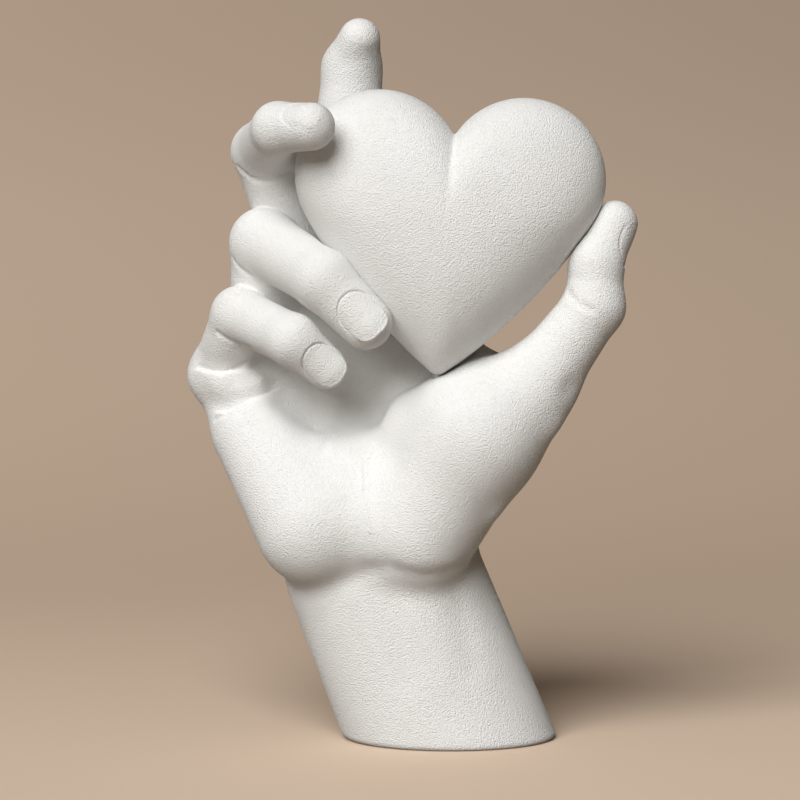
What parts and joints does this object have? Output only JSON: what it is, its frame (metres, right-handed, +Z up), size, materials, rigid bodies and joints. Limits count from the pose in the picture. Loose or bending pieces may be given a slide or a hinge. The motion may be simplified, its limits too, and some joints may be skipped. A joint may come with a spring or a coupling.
{
  "type": "hand sculpture",
  "caption": "Cast right hand, palm forward, standing on its cut forearm and holding a puffy heart between thumb and curled fingers.",
  "frame": {"origin": "middle of the flat underside of the foot, on the surface that the sculpture stands on", "axes": "+Z up along the height, +X to the right of a viewer who faces the open palm, -Y towards that viewer"},
  "size_m": [0.1336, 0.0732, 0.2163],
  "materials": {
    "cast_stone": "matt white, fine sand texture",
    "steel": "galvanised",
    "ballast": "rough cement",
    "plate": "raw fibreboard",
    "felt": "felt"
  },
  "bodies": {
    "root": {"hand_casting": "cast_stone", "heart_casting": "cast_stone", "heart_tip_dowel": "steel", "heart_back_dowel": "steel", "ballast_plug": "ballast", "base_plate": "plate", "felt_pad": "felt", "thumb_wire": "steel", "index_wire": "steel", "middle_wire": "steel", "ring_wire": "steel", "little_wire": "steel"}
  },
  "joints": []
}
